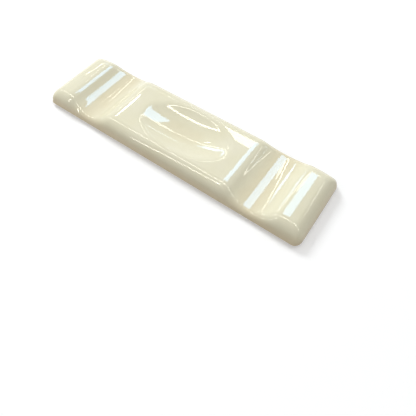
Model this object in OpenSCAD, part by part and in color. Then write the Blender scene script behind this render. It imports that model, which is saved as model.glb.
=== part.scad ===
// Brush rest: a glazed ceramic bar with a groove across it near each end and a shallow dish between.
// Millimetres. The origin is the middle of the footprint on the table, with X along the bar,
// Y across it and Z up.

/* [Bar] */
// Length of the glazed bar
bar_length = 100; // [90:1:130]
// Width of the glazed bar at its lower edge
bar_width = 27; // [23:0.5:36]
// Height of the middle block and the end mounds above the table
bar_height = 6; // [5.4:0.1:9]
// Lean of the long sides, in degrees from upright
side_draft = 18; // [8:1:28]
// Radius of the rolled edge along both long sides
edge_radius = 4.4; // [2:0.1:5]

/* [Ends] */
// Length over which the top rounds down gently before each tip
crown_run = 7.5; // [4:0.5:11]
// Radius of that gentle rounding
crown_radius = 22; // [15:1:60]
// Radius of the roll from the crowned top into the end
end_radius = 4.8; // [3:0.1:6]
// Lean of the end below its roll, in degrees from upright
end_draft = 25; // [15:1:35]
// Height of the upright strip at the tip of each end
end_strip = 0.9; // [0.6:0.1:1.6]
// How far the rounding of a corner runs along the bar
corner_run = 2.2; // [1.5:0.1:6]
// How far the rounding of a corner draws the side in
corner_draw = 2.8; // [0.5:0.1:3.5]
// Length over which the long sides soften towards a tip
tip_run = 11; // [4:0.5:14]
// How much further the long sides lean at a tip, in degrees
tip_lean = 6; // [0:1:14]
// How much larger the rolled edge becomes at a tip
tip_roll = 4; // [0:0.5:5]

/* [Brush grooves] */
// Distance between the centre lines of the two grooves
groove_spacing = 64; // [58:1:66]
// Radius of each groove
groove_radius = 12.5; // [8:0.5:14]
// Height of the groove's floor above the table
groove_floor = 3; // [2.6:0.1:4.5]
// Radius of the rounded shoulders on both sides of a groove
shoulder_radius = 6.1; // [2:0.1:8]

/* [Dish] */
// Length of the dish in the middle block
dish_length = 36.5; // [20:0.5:38]
// Width of the dish
dish_width = 19.9; // [10:0.1:21]
// Depth of the dish at its middle
dish_depth = 2.4; // [0.6:0.1:3]
// Squareness of the dish's outline, where 2 gives an ellipse
dish_squareness = 2.1; // [2:0.05:3]
// Share of the dish that its rounded rim takes up
dish_rim = 0.18; // [0.05:0.01:0.4]
// How far the dish sits to one side of the middle of the bar
dish_shift = 0.5; // [0:0.1:1.5]

/* [Underside] */
// Height of the bare foot, which is also the depth of the hollow inside it
foot_height = 1; // [0.6:0.1:1.4]
// Width of the bare foot all the way round
foot_width = 3; // [2:0.25:5]
// How far the foot stands in from the clay above it
foot_setback = 0.5; // [0.25:0.05:1]
// Corner radius of the foot, seen from below
foot_corner = 3; // [2:0.25:5]

/* [Glaze] */
// Thickness of the glaze over the top, the sides and the ends
glaze_thickness = 0.3; // [0.2:0.05:0.5]
// Thickness of the glaze in the hollow underneath
hollow_glaze_thickness = 0.25; // [0.15:0.05:0.4]

/* [Hidden] */

// Steps along the bar: half the middle block, a groove, and an end
block_steps = 9;
groove_steps = 14;
end_steps = 11;
// Steps up a side, round its rolled edge, and across the top to the centre line
side_steps = 2;
edge_steps = 5;
top_steps = 6;
// Points in one cross-section, and cross-sections along the bar
section_points = 2 * (side_steps + edge_steps + top_steps) + 1;
sections = 2 * (block_steps + groove_steps + end_steps) + 1;

// How far the foot reaches up into the clay that it belongs to
foot_root = 0.5;
curve_steps = 64;

// Every size of the outside is taken "inset" below the glaze: 0 gives the glaze's own surface,
// and glaze_thickness gives the surface of the clay under it.

function groove_centre() = groove_spacing / 2;

// Radii of a groove and of its shoulders on that surface
function groove_r(inset) = groove_radius + inset;
function shoulder_r(inset) = shoulder_radius - inset;

// Height of the centre that the groove's arc is struck from
arc_centre = groove_floor + groove_radius;

// Distance from a groove's centre line to the centre of its shoulder's arc,
// where the two arcs are tangent to each other and to the flat top
function shoulder_reach(inset) =
    let (rise = arc_centre - bar_height + shoulder_r(0))
    sqrt(pow(groove_r(inset) + shoulder_r(inset), 2) - rise * rise);

// Height of the top along the centre line, before the ends are rounded
function groove_profile(x, inset) =
    let (
        u = abs(abs(x) - groove_centre()),
        reach = shoulder_reach(inset),
        tangent = reach * groove_r(inset) / (groove_r(inset) + shoulder_r(inset))
    )
    u < tangent ? arc_centre - sqrt(pow(groove_r(inset), 2) - u * u) :
    u < reach ? bar_height - shoulder_r(0) + sqrt(pow(shoulder_r(inset), 2) - pow(reach - u, 2)) :
    bar_height - inset;

// How far the crowned top has come down at x
function crown(x) = pow(max(0, abs(x) - bar_length / 2 + crown_run), 2) / (2 * crown_radius);

// Height from the crowned top at the tip down to the upright strip, and the distance
// from the middle of the bar at which the end's roll starts
end_fall = bar_height - crown(bar_length / 2) - foot_height - end_strip;
end_start = bar_length / 2 - ((end_fall - end_radius) * sin(end_draft) + end_radius) / cos(end_draft);

// How far the end's roll and its leaning face have come down at x
function end_drop(x, inset) =
    let (
        r = end_radius - inset,
        q = max(0, abs(x) - end_start),
        arc_run = r * cos(end_draft)
    )
    q < arc_run ? r - sqrt(r * r - q * q) :
    r * (1 - sin(end_draft)) + (q - arc_run) / tan(end_draft);

// Height of the top above the foot
function crest(x, inset) = groove_profile(x, inset) - crown(x) - end_drop(x, inset) - foot_height;

// Share of the tip's softening that applies at x
function tip_share(x, inset) = pow(max(0, abs(x) - bar_length / 2 + inset + tip_run) / tip_run, 2);

// Lean of the long sides and radius of their rolled edges at x
function side_lean(x, inset) = side_draft + tip_lean * tip_share(x, inset);
function full_roll(x, inset) = edge_radius + tip_roll * tip_share(x, inset) - inset;

// The roll where the bar is this high: smoothly held below the height itself
function roll(full, height) = full / pow(1 + pow(full / height, 8), 1 / 8);

// Half the width at the top of the foot, drawn in at the corners
function half_width(x, inset) =
    let (
        half = bar_length / 2 - inset,
        w = min(1, max(0, (abs(x) - half + corner_run) / corner_run))
    )
    bar_width / 2 - inset / cos(side_draft) - corner_draw * (1 - sqrt(1 - w * w));

// Depth of the dish below the flat top: a bowl that the rounded rim carries on into the top.
// The distance q is 0 at the dish's middle and 1 where its rim ends.
function dish(x, y) =
    let (
        along = abs(2 * (x - dish_shift) / dish_length),
        across = abs(2 * y / dish_width),
        q = pow(pow(along, dish_squareness) + pow(across, dish_squareness), 1 / dish_squareness)
    )
    q < 1 - dish_rim ? dish_depth * (1 - q * q / (1 - dish_rim)) :
    q < 1 ? dish_depth * pow(1 - q, 2) / dish_rim : 0;

// Front half of the cross-section at x as [y, height above the foot], from the foot to the middle:
// a leaning side, a rolled edge tangent to it, and the flat top
function half_section(x, inset) =
    let (
        top = crest(x, inset),
        lean = side_lean(x, inset),
        r = roll(full_roll(x, inset), top),
        centre_y = half_width(x, inset) - ((top - r) * sin(lean) + r) / cos(lean),
        side_top = top - r + r * sin(lean)
    )
    concat(
        [for (i = [0 : side_steps - 1])
            let (z = side_top * i / side_steps)
            [-half_width(x, inset) + z * tan(lean), z]],
        [for (i = [0 : edge_steps])
            let (a = lean + (90 - lean) * i / edge_steps)
            [-centre_y - r * cos(a), top - r + r * sin(a)]],
        [for (i = [1 : top_steps])
            [-centre_y * (1 - i / top_steps), top]]
    );

// The whole cross-section at x as points in space, from the front of the foot over to the back
function section(x, inset) =
    let (front = half_section(x, inset), n = len(front))
    [for (i = [0 : section_points - 1])
        let (
            p = i < n ? front[i] : front[section_points - 1 - i],
            y = i < n ? p[0] : -p[0]
        )
        [x, y, foot_height + p[1] - dish(x, y)]];

// Places of the cross-sections on the right half of the bar, closer together towards the tip
function right_places(inset) =
    let (
        first = groove_centre() - shoulder_reach(0),
        last = groove_centre() + shoulder_reach(0),
        half = bar_length / 2 - inset
    )
    concat(
        [for (i = [1 : block_steps]) first * i / block_steps],
        [for (i = [1 : groove_steps]) first + (last - first) * i / groove_steps],
        [for (i = [1 : end_steps]) last + (half - last) * sin(90 * i / end_steps)]
    );

function places(inset) =
    let (right = right_places(inset), n = len(right))
    concat([for (i = [n - 1 : -1 : 0]) -right[i]], [0], right);

// All the points of the outside, one cross-section after another
function skin_points(inset) = [for (x = places(inset)) each section(x, inset)];

// Two triangles for four corners, which face the other way when flipped
function quad(a, b, c, d, flip = false) = flip ? [[c, b, a], [d, c, a]] : [[a, b, c], [a, c, d]];

// One end strip as a face, read on from a point in its rolled edge so that no three of its
// corners in a fan from there lie on one line
function end_face(from, flip) =
    let (n = section_points, start = side_steps + 2)
    [for (j = [0 : n - 1]) from + (start + (flip ? n - j : j)) % n];

// Faces of the skin and of its two end strips, for points that start at "from"
function skin_faces(from, flip = false) =
    let (n = section_points)
    concat(
        [for (i = [0 : sections - 2], j = [0 : n - 2])
            let (a = from + i * n + j)
            each quad(a, a + 1, a + n + 1, a + n, flip)],
        [end_face(from, !flip), end_face(from + (sections - 1) * n, flip)]
    );

// The solid bar of clay above its foot, closed by a flat underside
module clay_loft(inset) {
    n = section_points;
    underside = [for (i = [0 : sections - 2])
        each quad(i * n, (i + 1) * n, (i + 1) * n + n - 1, i * n + n - 1)];
    polyhedron(points = skin_points(inset), faces = concat(skin_faces(0), underside));
}

// The skin between two insets, closed round its lower edge
module glaze_loft(outer, inner) {
    n = section_points;
    from = sections * n;
    last = (sections - 1) * n;
    front_edge = [for (i = [0 : sections - 2])
        each quad(i * n, (i + 1) * n, from + (i + 1) * n, from + i * n)];
    back_edge = [for (i = [0 : sections - 2])
        let (a = i * n + n - 1)
        each quad(a, from + a, from + a + n, a + n)];
    left_edge = quad(0, from, from + n - 1, n - 1);
    right_edge = quad(last, last + n - 1, from + last + n - 1, from + last);
    polyhedron(
        points = concat(skin_points(outer), skin_points(inner)),
        faces = concat(
            skin_faces(0), skin_faces(from, true),
            front_edge, back_edge, left_edge, right_edge
        )
    );
}

// Outline of the foot seen from below, "inset" from its outer edge
module foot_outline(inset) {
    half_x = bar_length / 2 - glaze_thickness - foot_setback - inset;
    half_y = bar_width / 2 - glaze_thickness - foot_setback - inset;
    r = max(foot_corner - inset, 0.6);
    square([2 * half_x, 2 * (half_y - r)], center = true);
    square([2 * (half_x - r), 2 * half_y], center = true);
    for (side_x = [-1, 1], side_y = [-1, 1])
        translate([side_x * (half_x - r), side_y * (half_y - r)])
            circle(r = r, $fn = curve_steps);
}

// The bare ring that the bar stands on
module foot_ring() {
    linear_extrude(height = foot_height + foot_root)
        difference() {
            foot_outline(0);
            foot_outline(foot_width);
        }
}

// Fired clay, bare only on its foot
module clay_body() {
    color([0.91, 0.87, 0.78])
        union() {
            clay_loft(glaze_thickness);
            foot_ring();
        }
}

// Glossy cream glaze over everything above the foot
module glaze_coat() {
    color([0.93, 0.92, 0.83])
        glaze_loft(0, glaze_thickness);
}

// Thinner glaze in the hollow that the foot encloses
module hollow_glaze() {
    color([0.89, 0.88, 0.79])
        translate([0, 0, foot_height - hollow_glaze_thickness])
            linear_extrude(height = hollow_glaze_thickness)
                foot_outline(foot_width);
}

clay_body();
glaze_coat();
hollow_glaze();
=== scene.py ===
"""Looks of a glazed ceramic brush rest: a low cream bar with two grooves and a shallow dish.

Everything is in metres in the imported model's frame: X along the bar, Y across it, Z up from the table.
"""
import math

import bpy
import numpy as np
from mathutils import Matrix, Vector


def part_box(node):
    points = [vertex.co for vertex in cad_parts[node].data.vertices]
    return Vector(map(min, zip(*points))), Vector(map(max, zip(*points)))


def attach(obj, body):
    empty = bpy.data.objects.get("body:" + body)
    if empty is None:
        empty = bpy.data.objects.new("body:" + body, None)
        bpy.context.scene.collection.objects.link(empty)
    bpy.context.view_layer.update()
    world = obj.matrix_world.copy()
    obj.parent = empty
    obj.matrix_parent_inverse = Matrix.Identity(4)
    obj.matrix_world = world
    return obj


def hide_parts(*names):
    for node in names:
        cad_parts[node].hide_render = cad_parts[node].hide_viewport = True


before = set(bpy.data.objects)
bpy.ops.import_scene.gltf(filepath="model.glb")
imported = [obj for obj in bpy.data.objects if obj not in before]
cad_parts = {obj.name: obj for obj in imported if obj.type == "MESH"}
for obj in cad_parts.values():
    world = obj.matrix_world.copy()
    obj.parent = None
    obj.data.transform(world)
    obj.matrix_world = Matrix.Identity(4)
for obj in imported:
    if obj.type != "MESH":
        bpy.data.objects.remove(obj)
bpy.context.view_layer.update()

MM = 0.001

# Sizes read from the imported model
skin_low, skin_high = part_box("glaze_coat")
clay_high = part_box("clay_body")[1]
hollow_low, hollow_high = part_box("hollow_glaze")
HALF_LENGTH = skin_high.x
HALF_WIDTH = skin_high.y
TOP = skin_high.z
FOOT_HEIGHT = skin_low.z
GLAZE = skin_high.z - clay_high.z
HOLLOW_GLAZE = hollow_high.z - hollow_low.z

# Form of the bar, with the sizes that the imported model's source has
SIDE_DRAFT = math.radians(18)
EDGE_RADIUS = 4.4 * MM
CROWN_RUN = 7.5 * MM
CROWN_RADIUS = 22 * MM
END_DRAFT = math.radians(25)
END_RADIUS = 4.8 * MM
END_STRIP = 0.9 * MM
CORNER_RUN = 2.2 * MM
CORNER_DRAW = 2.8 * MM
TIP_RUN = 11 * MM
TIP_LEAN = math.radians(6)
TIP_ROLL = 4 * MM
GROOVE_CENTRE = 32 * MM
GROOVE_RADIUS = 12.5 * MM
GROOVE_FLOOR = 3 * MM
SHOULDER_RADIUS = 6.1 * MM
DISH_LENGTH = 36.5 * MM
DISH_WIDTH = 19.9 * MM
DISH_DEPTH = 2.4 * MM
DISH_SQUARENESS = 2.1
DISH_RIM = 0.18
DISH_SHIFT = 0.5 * MM
FOOT_WIDTH = 3 * MM
FOOT_SETBACK = 0.5 * MM
FOOT_CORNER = 3 * MM

# Sharpness with which the rolled edge is limited by the height that is left for it
LIMIT_POWER = 8

# Finish that only the visual model has: the glaze's bead and slow waves, the foot's rounded arrises,
# and how far the thin glaze reaches down the foot's inner wall and in from it
BEAD = 0.14 * MM
WAVE = 0.004 * MM
WAVE_FADE = 2 * MM
FOOT_ROUND = 0.3 * MM
REACH_DOWN = 0.22 * MM
REACH_IN = 1.1 * MM

# How far the foot reaches up into the clay, and the least radius of its corners
FOOT_ROOT = 0.3 * MM
LEAST_CORNER = 0.6 * MM


# Heights of the centres that a groove's arc and its shoulders' arcs are struck from, and the distance from
# the groove's centre line to its shoulder's, where the shoulder meets the flat top
ARC_CENTRE = GROOVE_FLOOR + GROOVE_RADIUS
SHOULDER_CENTRE = TOP - SHOULDER_RADIUS
REACH = math.sqrt((GROOVE_RADIUS + SHOULDER_RADIUS) ** 2 - (ARC_CENTRE - SHOULDER_CENTRE) ** 2)


def groove_profile(x, inset):
    """Height of the flat top and the grooves along the centre line."""
    radius = GROOVE_RADIUS + inset
    shoulder = SHOULDER_RADIUS - inset
    tangent = REACH * radius / (radius + shoulder)
    u = np.abs(np.abs(x) - GROOVE_CENTRE)
    arc = ARC_CENTRE - np.sqrt(np.maximum(radius ** 2 - u ** 2, 0))
    edge = SHOULDER_CENTRE + np.sqrt(np.maximum(shoulder ** 2 - (REACH - u) ** 2, 0))
    return np.where(u < tangent, arc, np.where(u < REACH, edge, TOP - inset))


def crown(x):
    """How far the end mounds round down towards the tips."""
    return np.maximum(np.abs(x) - HALF_LENGTH + CROWN_RUN, 0) ** 2 / (2 * CROWN_RADIUS)


END_FALL = TOP - crown(HALF_LENGTH) - FOOT_HEIGHT - END_STRIP
END_CENTRE = HALF_LENGTH - ((END_FALL - END_RADIUS) * math.sin(END_DRAFT) + END_RADIUS) / math.cos(END_DRAFT)


def end_drop(x, inset):
    """Fall of the rolled and leaning end below the crowned top."""
    r = END_RADIUS - inset
    sin, cos = math.sin(END_DRAFT), math.cos(END_DRAFT)
    q = np.maximum(np.abs(x) - END_CENTRE, 0)
    arc = r - np.sqrt(np.maximum(r ** 2 - q ** 2, 0))
    side = r * (1 - sin) + (q - r * cos) * cos / sin
    return np.where(q < r * cos, arc, side)


def crest(x, inset):
    """Height of the centre line above the lower edge of the glaze."""
    return groove_profile(x, inset) - crown(x) - end_drop(x, inset) - FOOT_HEIGHT


def half_width(x, inset):
    """Half the width at the lower edge, drawn in at the rounded corners."""
    half = HALF_LENGTH - inset
    w = np.clip((np.abs(x) - half + CORNER_RUN) / CORNER_RUN, 0, 1)
    return HALF_WIDTH - inset / math.cos(SIDE_DRAFT) - CORNER_DRAW * (1 - np.sqrt(1 - w ** 2))


def dish(x, y):
    """Depth of the dish: a bowl that its rounded rim carries on into the flat top."""
    along, across = np.abs(2 * (x - DISH_SHIFT) / DISH_LENGTH), np.abs(2 * y / DISH_WIDTH)
    q = (along ** DISH_SQUARENESS + across ** DISH_SQUARENESS) ** (1 / DISH_SQUARENESS)
    bowl = 1 - q ** 2 / (1 - DISH_RIM)
    rim = np.maximum(1 - q, 0) ** 2 / DISH_RIM
    return DISH_DEPTH * np.where(q < 1 - DISH_RIM, bowl, rim)


# Wavelengths in mm along X and Y, and phase, of the glaze's slow waves
WAVES = [(43, 29, 0.4), (-27, 33, 1.9), (19, -41, 3.1), (15, 17, 5.0), (-12, 15, 2.2)]


def wave(x, y):
    """Slow unevenness of the fired glaze, which only ever lowers the surface."""
    total = sum(np.sin(2 * math.pi * (x / (a * MM) + y / (b * MM)) + phase) for a, b, phase in WAVES)
    return -WAVE * (1 + total / len(WAVES))


# Steps of the mesh: along half the block, a groove and an end, then up a side, and then round its edge
# and over the top to the centre line, on the outside and under the glaze
BLOCK_STEPS, GROOVE_STEPS, END_STEPS = 84, 44, 44
SIDE_STEPS = 6
OUTER_STEPS = (30, 60)
INNER_STEPS = (10, 16)
BEAD_STEPS = 6
CORNER_STEPS = 10
ROUND_STEPS = 6
REACH_STEPS = 7


def places(inset):
    """Where the cross-sections stand along the bar."""
    half = HALF_LENGTH - inset
    first, last = GROOVE_CENTRE - REACH, GROOVE_CENTRE + REACH
    right = np.concatenate([
        first * np.arange(1, BLOCK_STEPS + 1) / BLOCK_STEPS,
        first + (last - first) * np.arange(1, GROOVE_STEPS + 1) / GROOVE_STEPS,
        last + (half - last) * np.sin(math.pi / 2 * np.arange(1, END_STEPS + 1) / END_STEPS),
    ])
    return np.concatenate([-right[::-1], [0], right])


def section(x, inset, wavy):
    """The cross-section at x, from the glaze's lower edge in front over the top to the one behind."""
    edge_steps, top_steps = OUTER_STEPS if wavy else INNER_STEPS
    top = float(crest(x, inset))
    tip = (max(abs(x) - HALF_LENGTH + inset + TIP_RUN, 0) / TIP_RUN) ** 2
    lean = SIDE_DRAFT + TIP_LEAN * tip
    full = EDGE_RADIUS + TIP_ROLL * tip - inset
    r = full / (1 + (full / top) ** LIMIT_POWER) ** (1 / LIMIT_POWER)
    half = float(half_width(x, inset))
    sin, cos = math.sin(lean), math.cos(lean)
    centre_y = half - ((top - r) * sin + r) / cos
    side_top = top - r + r * sin
    z = side_top * np.arange(SIDE_STEPS) / SIDE_STEPS
    side = np.c_[-half + z * sin / cos, z]
    angle = lean + (math.pi / 2 - lean) * np.arange(edge_steps + 1) / edge_steps
    edge = np.c_[-centre_y - r * np.cos(angle), top - r + r * np.sin(angle)]
    flat = np.c_[-centre_y * (1 - np.arange(1, top_steps + 1) / top_steps), np.full(top_steps, top)]
    front = np.vstack([side, edge, flat])
    whole = np.vstack([front, front[:-1][::-1] * [-1, 1]])
    y = whole[:, 0]
    height = whole[:, 1] - dish(x, y)
    if wavy:
        height = height + wave(x, y) * np.clip(whole[:, 1] / WAVE_FADE, 0, 1)
    return np.c_[np.full(len(whole), x), y, FOOT_HEIGHT + height]


def skin(inset, wavy):
    """All cross-sections of one surface, an array of sections by points by coordinates."""
    return np.array([section(x, inset, wavy) for x in places(inset)])


def new_object(name, vertices, faces):
    mesh = bpy.data.meshes.new(name)
    mesh.from_pydata([tuple(v) for v in vertices], [], [tuple(int(i) for i in f) for f in faces])
    mesh.validate()
    mesh.shade_smooth()
    piece = bpy.data.objects.new(name, mesh)
    bpy.context.scene.collection.objects.link(piece)
    return piece


def grid_faces(m, n, start, flip):
    """Faces between m neighbouring sections of n points each."""
    faces = []
    for i in range(m - 1):
        for j in range(n - 1):
            a = start + i * n + j
            quad = (a, a + n, a + n + 1, a + 1)
            faces.append(quad[::-1] if flip else quad)
    return faces


def base_loop(m, n, start):
    """Indices of a skin's lower edge: along the front, then back along the rear."""
    front = [start + i * n for i in range(m)]
    back = [start + i * n + n - 1 for i in reversed(range(m))]
    return front + back


def strip_faces(a, b):
    """Faces between two closed loops of equal length."""
    count = len(a)
    return [(a[k], b[k], b[(k + 1) % count], a[(k + 1) % count]) for k in range(count)]


def tip_faces(m, n, start, flip):
    """The two flat faces that close a skin at its ends."""
    left = tuple(start + j for j in range(n))
    right = tuple(start + (m - 1) * n + j for j in reversed(range(n)))
    return [left[::-1], right[::-1]] if flip else [left, right]


def glaze_skin():
    """The glaze as a closed shell, whose lower edge is a small rounded bead."""
    outer, inner = skin(0, True), skin(GLAZE, False)
    m, n, _ = outer.shape
    inner_n = inner.shape[1]
    for surface in (outer, inner):
        for side in (0, -1):
            surface[:, side, 2] += BEAD
    points = [outer.reshape(-1, 3), inner.reshape(-1, 3)]
    count = m * n
    faces = grid_faces(m, n, 0, False) + grid_faces(m, inner_n, count, True)
    faces += tip_faces(m, n, 0, False) + tip_faces(m, inner_n, count, True)
    loop_outer, loop_inner = base_loop(m, n, 0), base_loop(m, inner_n, count)
    both = np.vstack(points)
    a, b = both[loop_outer], both[loop_inner]
    loops = [loop_outer]
    for k in range(1, BEAD_STEPS):
        t = math.pi * k / BEAD_STEPS
        ring = a + (b - a) * (1 - math.cos(t)) / 2
        ring[:, 2] -= BEAD * math.sin(t)
        first = sum(len(p) for p in points)
        loops.append(list(range(first, first + len(ring))))
        points.append(ring)
    loops.append(loop_inner)
    for low, high in zip(loops[:-1], loops[1:]):
        faces += strip_faces(low, high)
    return new_object("glaze_skin", np.vstack(points), faces)


def foot_outline(inset, height):
    """One closed loop of points round the foot, seen from above, anticlockwise."""
    half_x = HALF_LENGTH - GLAZE - FOOT_SETBACK - inset
    half_y = HALF_WIDTH - GLAZE - FOOT_SETBACK - inset
    r = max(FOOT_CORNER - inset, LEAST_CORNER)
    points = []
    for quarter, (sx, sy) in enumerate([(1, -1), (1, 1), (-1, 1), (-1, -1)]):
        for k in range(CORNER_STEPS + 1):
            angle = math.pi / 2 * (quarter - 1 + k / CORNER_STEPS)
            x = sx * (half_x - r) + r * math.cos(angle)
            y = sy * (half_y - r) + r * math.sin(angle)
            points.append((x, y, height))
    return points


def swept(profile, closed):
    """Points and faces of a profile of (inset, height) pairs carried round the foot's outline."""
    loops = [foot_outline(inset, height) for inset, height in profile]
    size = len(loops[0])
    points = [point for loop in loops for point in loop]
    starts = [k * size for k in range(len(loops))]
    if closed:
        starts.append(0)
    faces = []
    for a, b in zip(starts, starts[1:]):
        faces += strip_faces(range(a, a + size), range(b, b + size))
    return points, faces


def clay_bar():
    """Fired clay under the glaze, with the bare foot that it stands on."""
    body = skin(GLAZE, False)
    m, n, _ = body.shape
    points = list(body.reshape(-1, 3))
    faces = grid_faces(m, n, 0, False) + tip_faces(m, n, 0, False)
    faces.append(tuple(reversed(base_loop(m, n, 0))))
    angles = [math.pi / 2 * k / ROUND_STEPS for k in range(ROUND_STEPS + 1)]
    outer = [(FOOT_ROUND * (1 - math.cos(a)), FOOT_ROUND * (1 - math.sin(a))) for a in angles]
    inner = [(FOOT_WIDTH - inset, height) for inset, height in reversed(outer)]
    root = FOOT_HEIGHT + FOOT_ROOT
    ring, ring_faces = swept([(0, root)] + outer + inner + [(FOOT_WIDTH, root)], True)
    faces += [tuple(len(points) + i for i in face) for face in ring_faces]
    return new_object("clay_bar", points + ring, faces)


def hollow_film():
    """Thin glaze in the hollow underneath, which reaches a little way down the foot's inner wall."""
    low = FOOT_HEIGHT - HOLLOW_GLAZE
    profile = [(FOOT_WIDTH, FOOT_HEIGHT)]
    for k in range(REACH_STEPS + 1):
        t = k / REACH_STEPS
        profile.append((FOOT_WIDTH + REACH_IN * t, low - REACH_DOWN * (1 - t) ** 3))
    points, faces = swept(profile, False)
    size = len(points) // len(profile)
    faces.append(tuple(range(size)))
    faces.append(tuple(reversed(range(len(points) - size, len(points)))))
    return new_object("hollow_glaze_film", points, faces)


def material_nodes(name):
    material = bpy.data.materials.new(name)
    material.use_nodes = True
    nodes = material.node_tree.nodes
    return material, nodes, material.node_tree.links, nodes["Principled BSDF"]


def noise(nodes, links, place, scale, detail):
    """Noise in the piece's own metres; the scale is in cells per metre."""
    node = nodes.new("ShaderNodeTexNoise")
    node.inputs["Scale"].default_value = scale
    node.inputs["Detail"].default_value = detail
    links.new(place, node.inputs["Vector"])
    return node.outputs["Fac"]


def ramp(nodes, links, value, stops):
    """Colours at positions of a value, given as pairs of a position and a colour."""
    node = nodes.new("ShaderNodeValToRGB")
    elements = node.color_ramp.elements
    while len(elements) < len(stops):
        elements.new(0.5)
    for element, (position, colour) in zip(elements, stops):
        element.position = position
        element.color = (*colour, 1)
    links.new(value, node.inputs["Fac"])
    return node.outputs["Color"]


def remap(nodes, links, value, old, new):
    """The value with an old range stretched to a new one, and held at its ends."""
    node = nodes.new("ShaderNodeMapRange")
    for key, number in zip(("From Min", "From Max", "To Min", "To Max"), (*old, *new)):
        node.inputs[key].default_value = number
    links.new(value, node.inputs["Value"])
    return node.outputs["Result"]


# Sockets of a mix node that mixes colours
FIRST_COLOUR, SECOND_COLOUR, MIXED_COLOUR = 6, 7, 2


def mixed(nodes, links, share, first, second):
    """A colour mixed by a share with a second, plain colour."""
    node = nodes.new("ShaderNodeMix")
    node.data_type = "RGBA"
    links.new(share, node.inputs["Factor"])
    links.new(first, node.inputs[FIRST_COLOUR])
    node.inputs[SECOND_COLOUR].default_value = (*second, 1)
    return node.outputs[MIXED_COLOUR]


def combined(nodes, links, operation, *values):
    """The result of a maths operation on values, each a plain number or another node's output."""
    node = nodes.new("ShaderNodeMath")
    node.operation = operation
    for socket, value in zip(node.inputs, values):
        if isinstance(value, (int, float)):
            socket.default_value = value
        else:
            links.new(value, socket)
    return node.outputs[0]


def bump(nodes, links, shader, heights):
    """Bumps laid over each other: pairs of a height and how many metres it stands for."""
    normal = None
    for height, distance in heights:
        node = nodes.new("ShaderNodeBump")
        node.inputs["Strength"].default_value = 1
        node.inputs["Distance"].default_value = distance
        links.new(height, node.inputs["Height"])
        if normal:
            links.new(normal, node.inputs["Normal"])
        normal = node.outputs["Normal"]
    links.new(normal, shader.inputs["Normal"])


def own_place(nodes):
    """The place on the piece, in metres."""
    return nodes.new("ShaderNodeTexCoord").outputs["Object"]


def height_of(nodes, links, place):
    """Height of a place above the table, in metres."""
    split = nodes.new("ShaderNodeSeparateXYZ")
    links.new(place, split.inputs[0])
    return split.outputs["Z"]


def specks(nodes, links, place, scale, size):
    """1 inside sparse small spots of a size, in cells; 0 elsewhere."""
    cells = nodes.new("ShaderNodeTexVoronoi")
    cells.inputs["Scale"].default_value = scale
    links.new(place, cells.inputs["Vector"])
    return remap(nodes, links, cells.outputs["Distance"], (size, size * 0.4), (0, 1))


# Base colours of the cream glaze: its clouds, where it pools, the painted shade that darkens it towards the
# foot, and its pinholes
CREAM_DEEP = (0.83, 0.8, 0.6)
CREAM_PALE = (0.85, 0.825, 0.65)
CREAM_POOLED = (0.825, 0.79, 0.585)
CREAM_FOOT_SHADE = (0.74, 0.63, 0.42)
CREAM_PINHOLE = (0.5, 0.4, 0.27)

# Height below which painted shade starts to darken the cream glaze, how unevenly it does so, and its polish
FOOT_SHADE_BELOW = 4.2 * MM
FOOT_SHADE_UNEVEN = 1.4 * MM
CREAM_ROUGHNESS = (0.012, 0.028)
CREAM_IOR = 1.52


def cream_glaze():
    """Glossy cream glaze: a little deeper where it pools, and with painted shade that makes it darker and
    warmer towards the foot.
    """
    material, nodes, links, shader = material_nodes("cream_glaze")
    place = own_place(nodes)
    height = height_of(nodes, links, place)
    cloud = noise(nodes, links, place, scale=130, detail=3)
    fine = noise(nodes, links, place, scale=900, detail=2)
    slow = noise(nodes, links, place, scale=330, detail=1)
    pinhole = specks(nodes, links, place, scale=260, size=0.032)
    colour = ramp(nodes, links, cloud, [(0.3, CREAM_DEEP), (0.7, CREAM_PALE)])
    pooled = remap(nodes, links, height, (TOP - 0.3 * MM, TOP - DISH_DEPTH), (0, 0.5))
    colour = mixed(nodes, links, pooled, colour, CREAM_POOLED)
    # Painted shade: below a wavering height the glaze is made darker and warmer towards the foot
    shift = combined(nodes, links, "MULTIPLY_ADD", cloud, FOOT_SHADE_UNEVEN, -FOOT_SHADE_UNEVEN / 2)
    shifted = combined(nodes, links, "ADD", height, shift)
    foot_shade = remap(nodes, links, shifted, (FOOT_SHADE_BELOW, FOOT_HEIGHT), (0, 1))
    colour = mixed(nodes, links, foot_shade, colour, CREAM_FOOT_SHADE)
    faint = combined(nodes, links, "MULTIPLY", pinhole, 0.25)
    colour = mixed(nodes, links, faint, colour, CREAM_PINHOLE)
    links.new(colour, shader.inputs["Base Color"])
    links.new(remap(nodes, links, fine, (0.3, 0.7), CREAM_ROUGHNESS), shader.inputs["Roughness"])
    shader.inputs["IOR"].default_value = CREAM_IOR
    dent = combined(nodes, links, "MULTIPLY", pinhole, -1)
    bump(nodes, links, shader, [(fine, 0.0002 * MM), (slow, 0.0006 * MM), (dent, 0.004 * MM)])
    return material


# Base colours of the thin glaze, from where the clay shows through to where it lies thickest, and of its
# spots, and its polish from the bare patches to the thick ones
THIN_BARE = (0.74, 0.66, 0.5)
THIN_MIDDLE = (0.8, 0.755, 0.58)
THIN_THICK = (0.84, 0.81, 0.64)
THIN_SPOT = (0.45, 0.34, 0.22)
THIN_ROUGHNESS = (0.4, 0.14)
THIN_IOR = 1.5


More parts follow.
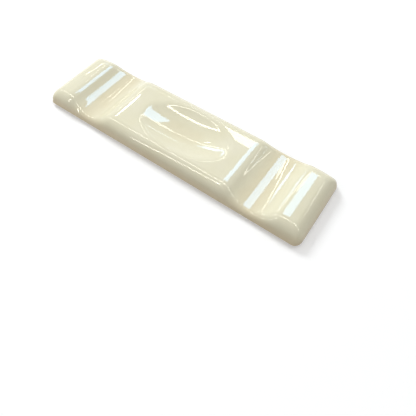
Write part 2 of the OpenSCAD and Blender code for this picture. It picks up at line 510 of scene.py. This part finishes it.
def thin_glaze():
    """The glaze in the hollow: thin, patchy and duller, with the clay showing through."""
    material, nodes, links, shader = material_nodes("thin_glaze")
    place = own_place(nodes)
    patches = noise(nodes, links, place, scale=210, detail=5)
    fine = noise(nodes, links, place, scale=1400, detail=3)
    spot = specks(nodes, links, place, scale=420, size=0.06)
    colour = ramp(nodes, links, patches, [(0.32, THIN_BARE), (0.5, THIN_MIDDLE), (0.68, THIN_THICK)])
    faint = combined(nodes, links, "MULTIPLY", spot, 0.5)
    colour = mixed(nodes, links, faint, colour, THIN_SPOT)
    links.new(colour, shader.inputs["Base Color"])
    links.new(remap(nodes, links, patches, (0.3, 0.7), THIN_ROUGHNESS), shader.inputs["Roughness"])
    shader.inputs["IOR"].default_value = THIN_IOR
    dent = combined(nodes, links, "MULTIPLY", spot, -1)
    bump(nodes, links, shader, [(patches, 0.03 * MM), (fine, 0.006 * MM), (dent, 0.03 * MM)])
    return material


# Base colours of the bare clay: its clouds, its pale grain, where the foot is rubbed, and its iron flecks,
# and its roughness where it isn't rubbed and where it is
CLAY_DARK = (0.66, 0.56, 0.42)
CLAY_LIGHT = (0.76, 0.68, 0.54)
CLAY_GRAIN = (0.84, 0.78, 0.66)
CLAY_RUBBED = (0.5, 0.42, 0.33)
CLAY_FLECK = (0.33, 0.22, 0.14)
CLAY_ROUGHNESS = (0.88, 0.6)


def bare_clay():
    """Unglazed fired clay: sandy, with iron flecks, and rubbed smoother and darker where it stands."""
    material, nodes, links, shader = material_nodes("bare_clay")
    place = own_place(nodes)
    height = height_of(nodes, links, place)
    cloud = noise(nodes, links, place, scale=180, detail=4)
    grain = noise(nodes, links, place, scale=2600, detail=4)
    fleck = specks(nodes, links, place, scale=900, size=0.11)
    colour = ramp(nodes, links, cloud, [(0.3, CLAY_DARK), (0.7, CLAY_LIGHT)])
    sandy = remap(nodes, links, grain, (0.45, 0.75), (0, 0.35))
    colour = mixed(nodes, links, sandy, colour, CLAY_GRAIN)
    low = remap(nodes, links, height, (0.16 * MM, 0.02 * MM), (0, 1))
    patchy = remap(nodes, links, cloud, (0.35, 0.65), (0.35, 1))
    rubbed = combined(nodes, links, "MULTIPLY", low, patchy)
    half_rubbed = combined(nodes, links, "MULTIPLY", rubbed, 0.5)
    colour = mixed(nodes, links, half_rubbed, colour, CLAY_RUBBED)
    faint = combined(nodes, links, "MULTIPLY", fleck, 0.7)
    colour = mixed(nodes, links, faint, colour, CLAY_FLECK)
    links.new(colour, shader.inputs["Base Color"])
    links.new(remap(nodes, links, rubbed, (0, 1), CLAY_ROUGHNESS), shader.inputs["Roughness"])
    bump(nodes, links, shader, [(cloud, 0.05 * MM), (grain, 0.035 * MM)])
    return material


def put(piece, material):
    piece.data.materials.clear()
    piece.data.materials.append(material)


def declare(piece, node, material):
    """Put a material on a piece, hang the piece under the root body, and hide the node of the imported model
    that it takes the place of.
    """
    put(piece, material)
    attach(piece, "root")
    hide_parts(node)


declare(glaze_skin(), "glaze_coat", cream_glaze())
declare(clay_bar(), "clay_body", bare_clay())
declare(hollow_film(), "hollow_glaze", thin_glaze())

# Camera: the photograph's view, found by fitting the bar's outline
IMAGE_PIXELS = 416
FOCAL_PIXELS = 364.62
SENSOR_WIDTH = 36
NEAREST = 0.005
AZIMUTH = math.radians(35.314)
ELEVATION = math.radians(59.215)
ROLL = math.radians(0.101)
DISTANCE = 108.97 * MM
TARGET = Vector((21.65 * MM, -16.60 * MM, 0))


def add_camera():
    data = bpy.data.cameras.new("camera")
    data.sensor_width = SENSOR_WIDTH
    data.lens = FOCAL_PIXELS / IMAGE_PIXELS * SENSOR_WIDTH
    data.clip_start = NEAREST
    camera = bpy.data.objects.new("camera", data)
    bpy.context.scene.collection.objects.link(camera)
    level = Vector((math.cos(AZIMUTH), math.sin(AZIMUTH), 0))
    ahead = Vector((-math.sin(AZIMUTH), math.cos(AZIMUTH), 0))
    forward = ahead * math.cos(ELEVATION) - Vector((0, 0, math.sin(ELEVATION)))
    upright = level.cross(forward)
    right = math.cos(ROLL) * level + math.sin(ROLL) * upright
    up = -math.sin(ROLL) * level + math.cos(ROLL) * upright
    place = TARGET - forward * DISTANCE
    camera.matrix_world = Matrix((
        (right.x, up.x, -forward.x, place.x),
        (right.y, up.y, -forward.y, place.y),
        (right.z, up.z, -forward.z, place.z),
        (0, 0, 0, 1)))
    bpy.context.scene.camera = camera


add_camera()

# Lamps: plain panels on a ceiling this high, placed by their angles from straight above
CEILING = 1.5


def ceiling_point(along, across):
    """Where a direction, given by its angles towards +X and +Y in degrees, meets the ceiling."""
    return CEILING * math.tan(math.radians(along)), CEILING * math.tan(math.radians(across))


def area_lamp(name, place, size, radiance, colour, in_gloss):
    """A rectangular lamp that faces down and is seen in the gloss only, or lights softly only."""
    data = bpy.data.lights.new(name, "AREA")
    data.shape = "RECTANGLE"
    data.size, data.size_y = size
    data.energy = radiance * math.pi * size[0] * size[1]
    data.color = colour
    light = bpy.data.objects.new(name, data)
    bpy.context.scene.collection.objects.link(light)
    light.location = place
    light.visible_camera = False
    light.visible_diffuse = not in_gloss
    light.visible_glossy = in_gloss
    return light


def panel(name, along, across, radiance, colour, in_gloss):
    """A ceiling panel between two angles towards +X and two angles towards +Y."""
    x0, y0 = ceiling_point(along[0], across[0])
    x1, y1 = ceiling_point(along[1], across[1])
    middle = ((x0 + x1) / 2, (y0 + y1) / 2, CEILING)
    area_lamp(name, middle, (x1 - x0, y1 - y0), radiance, colour, in_gloss)


def slat(name, start, end, width, radiance, colour):
    """A narrow strip lamp on the ceiling between two directions, seen only in the gloss."""
    x0, y0 = ceiling_point(*start)
    x1, y1 = ceiling_point(*end)
    middle = ((x0 + x1) / 2, (y0 + y1) / 2, CEILING)
    light = area_lamp(name, middle, (math.hypot(x1 - x0, y1 - y0), width), radiance, colour, True)
    light.rotation_euler.z = math.atan2(y1 - y0, x1 - x0)


WINDOW = (0.38, 0.66, 1.0)
COOL = (0.7, 0.9, 1.0)
WARM = (1.0, 0.97, 0.84)
panel("window", along=(-18, 2), across=(23, 40), radiance=8.2, colour=WINDOW, in_gloss=True)
panel("garden", along=(-52, -45), across=(44, 50), radiance=8, colour=WINDOW, in_gloss=True)
panel("strip_blob", along=(-26, -15), across=(37.7, 39.5), radiance=9, colour=WARM, in_gloss=True)
slat("strip_over", (-62, 0.3), (50, 0.3), width=0.09, radiance=12, colour=WARM)
slat("strip_back", (-57, 41), (12, 40.6), width=0.05, radiance=10, colour=WARM)
slat("strip_end", (29, 41.5), (46, 41.5), width=0.04, radiance=7, colour=WARM)
slat("strip_right", (42, 41), (42, 60), width=0.04, radiance=9, colour=COOL)
slat("strip_far", (-48, 61), (-26, 57), width=0.05, radiance=9, colour=COOL)
slat("strip_front", (-16, -21), (-52, -60), width=0.06, radiance=20, colour=WARM)
slat("strip_side", (-41.2, 31), (-41.2, 37), width=0.02, radiance=20, colour=WARM)
panel("soft_key", along=(-58, -42), across=(18, 38), radiance=25, colour=(0.97, 1, 1), in_gloss=False)
panel("soft_top", along=(-25, 30), across=(5, 45), radiance=1.15, colour=(0.98, 1, 1), in_gloss=False)

# A small soft lamp close to the left front, aimed at the bar
FILL_PLACE = Vector((-0.14, -0.13, 0.12))
FILL_AIM = Vector((-0.03, 0, 0))
FILL_SIZE = (0.1, 0.1)
FILL_COLOUR = (1, 0.95, 0.88)
fill = area_lamp("soft_fill", FILL_PLACE, FILL_SIZE, radiance=1.2, colour=FILL_COLOUR, in_gloss=False)
fill.rotation_euler = (FILL_AIM - FILL_PLACE).to_track_quat("-Z", "Y").to_euler()

# Light that the room sheds on the bar, and the colour that the floor throws back at it
ROOM_LIGHT = (1, 0.975, 0.94, 1)
ROOM_STRENGTH = 0.44
FLOOR_BOUNCE = (0.54, 0.52, 0.49, 1)

# The floor as it is seen: near white, with a share of its own glow
FLOOR_COLOUR = (0.97, 0.98, 1.0, 1)
FLOOR_ROUGHNESS = 0.9
GLOW_SHARE = 0.2
GLOW_STRENGTH = 1.5

# Half the floor's width, and how far it lies under the foot
FLOOR_REACH = 1.5
FLOOR_DROP = 0.01 * MM


def seen_or_mirrored(nodes, links):
    """1 for what the camera sees, itself or in the gloss; 0 for the light that falls on the bar."""
    path = nodes.new("ShaderNodeLightPath")
    glossy, through = path.outputs["Is Glossy Ray"], path.outputs["Is Transmission Ray"]
    mirrored = combined(nodes, links, "MAXIMUM", glossy, through)
    return combined(nodes, links, "MAXIMUM", path.outputs["Is Camera Ray"], mirrored)


def studio():
    """A white background that sheds a gentler light than it shows."""
    world = bpy.data.worlds.new("studio")
    bpy.context.scene.world = world
    world.use_nodes = True
    nodes, links = world.node_tree.nodes, world.node_tree.links
    light = nodes["Background"]
    light.inputs["Color"].default_value = ROOM_LIGHT
    light.inputs["Strength"].default_value = ROOM_STRENGTH
    white = nodes.new("ShaderNodeBackground")
    white.inputs["Color"].default_value = (1, 1, 1, 1)
    white.inputs["Strength"].default_value = 1
    either = nodes.new("ShaderNodeMixShader")
    links.new(seen_or_mirrored(nodes, links), either.inputs["Fac"])
    links.new(light.outputs[0], either.inputs[1])
    links.new(white.outputs[0], either.inputs[2])
    links.new(either.outputs[0], nodes["World Output"].inputs["Surface"])


def floor():
    """A plain pale floor that keeps the bar's shadow."""
    mesh = bpy.data.meshes.new("floor")
    corners = [(-1, -1), (1, -1), (1, 1), (-1, 1)]
    points = [(x * FLOOR_REACH, y * FLOOR_REACH, -FLOOR_DROP) for x, y in corners]
    mesh.from_pydata(points, [], [(0, 1, 2, 3)])
    piece = bpy.data.objects.new("floor", mesh)
    bpy.context.scene.collection.objects.link(piece)
    material, nodes, links, shader = material_nodes("floor")
    shader.inputs["Base Color"].default_value = FLOOR_COLOUR
    shader.inputs["Roughness"].default_value = FLOOR_ROUGHNESS
    shader.inputs["Specular IOR Level"].default_value = 0
    glow = nodes.new("ShaderNodeEmission")
    glow.inputs["Strength"].default_value = GLOW_STRENGTH
    seen = nodes.new("ShaderNodeMixShader")
    seen.inputs["Fac"].default_value = GLOW_SHARE
    bounce = nodes.new("ShaderNodeBsdfDiffuse")
    bounce.inputs["Color"].default_value = FLOOR_BOUNCE
    either = nodes.new("ShaderNodeMixShader")
    links.new(shader.outputs[0], seen.inputs[1])
    links.new(glow.outputs[0], seen.inputs[2])
    links.new(seen_or_mirrored(nodes, links), either.inputs["Fac"])
    links.new(bounce.outputs[0], either.inputs[1])
    links.new(seen.outputs[0], either.inputs[2])
    links.new(either.outputs[0], nodes["Material Output"].inputs["Surface"])
    put(piece, material)


studio()
floor()
bpy.context.scene.view_settings.view_transform = "Standard"
